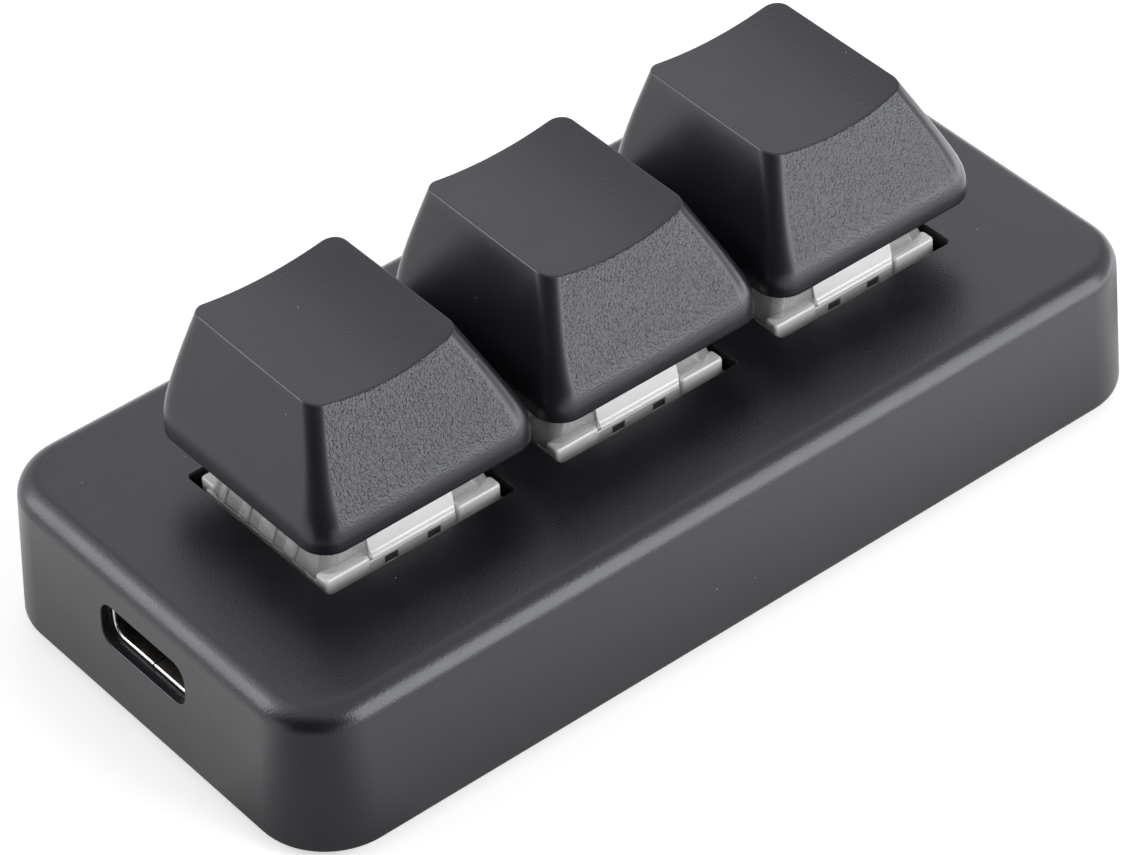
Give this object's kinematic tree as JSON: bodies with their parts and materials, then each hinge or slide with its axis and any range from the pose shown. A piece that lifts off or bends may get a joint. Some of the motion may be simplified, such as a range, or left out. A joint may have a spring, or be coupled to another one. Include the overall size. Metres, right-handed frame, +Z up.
{
  "type": "macro keypad",
  "caption": "Low black desk case with a row of tall sculpted keys on mechanical switches and a small reversible data port in one end.",
  "frame": {"origin": "on the desk surface that the feet stand on, under the middle of the case", "axes": "+X along the row of keys, away from the port; +Y away from the user, towards the upright back of the keys; +Z up"},
  "size_m": [0.0732, 0.0356, 0.0252],
  "materials": {
    "case_plastic": "black ABS with a fine eggshell grain",
    "cap_plastic": "black ABS, pebbled sides and a finer grained top",
    "clear_plastic": "clear polycarbonate, slightly milky",
    "milky_plastic": "milky white nylon",
    "stem_plastic": "coloured acetal, smooth",
    "spring_steel": "bright spring wire",
    "contact_bronze": "sheet bronze, bright",
    "contact_gilt": "gilt sheet",
    "port_steel": "nickel plated sheet steel",
    "port_plastic": "black moulded insulator",
    "screw_steel": "steel, blackened",
    "foot_rubber": "black rubber, matte",
    "plate_plastic": "black moulded plate",
    "board_laminate": "laminate with green solder mask",
    "chip_plastic": "moulded epoxy package",
    "capacitor_ceramic": "fired ceramic with tinned ends",
    "resistor_glaze": "glazed body with tinned ends",
    "led_lens": "diffuse lens over a phosphor"
  },
  "bodies": {
    "case": {"top_case": "case_plastic", "bottom_cover": "case_plastic", "case_screws": "screw_steel", "rubber_feet": "foot_rubber", "switch_plate": "plate_plastic", "circuit_board": "board_laminate", "board_screws": "screw_steel", "port_shell": "port_steel", "port_insulator": "port_plastic", "port_contacts": "contact_gilt", "controller_chip": "chip_plastic", "board_capacitors": "capacitor_ceramic", "board_resistors": "resistor_glaze", "key_leds": "led_lens", "left_return_spring": "spring_steel", "left_upper_housing": "clear_plastic", "left_lower_housing": "milky_plastic", "left_moving_contact": "contact_bronze", "left_fixed_contact": "contact_bronze", "middle_return_spring": "spring_steel", "middle_upper_housing": "clear_plastic", "middle_lower_housing": "milky_plastic", "middle_moving_contact": "contact_bronze", "middle_fixed_contact": "contact_bronze", "right_return_spring": "spring_steel", "right_upper_housing": "clear_plastic", "right_lower_housing": "milky_plastic", "right_moving_contact": "contact_bronze", "right_fixed_contact": "contact_bronze"},
    "left_key": {"left_keycap": "cap_plastic", "left_stem": "stem_plastic"},
    "middle_key": {"middle_keycap": "cap_plastic", "middle_stem": "stem_plastic"},
    "right_key": {"right_keycap": "cap_plastic", "right_stem": "stem_plastic"}
  },
  "joints": [
    {"name": "left_key_travel", "type": "slide", "parent": "case", "child": "left_key", "axis": [0, 0, -1], "range_m": [0, 0.004], "stiffness_N_per_m": 75, "springref_m": -0.004, "deforming": ["left_return_spring"]},
    {"name": "middle_key_travel", "type": "slide", "parent": "case", "child": "middle_key", "axis": [0, 0, -1], "range_m": [0, 0.004], "stiffness_N_per_m": 75, "springref_m": -0.004, "deforming": ["middle_return_spring"]},
    {"name": "right_key_travel", "type": "slide", "parent": "case", "child": "right_key", "axis": [0, 0, -1], "range_m": [0, 0.004], "stiffness_N_per_m": 75, "springref_m": -0.004, "deforming": ["right_return_spring"]}
  ]
}
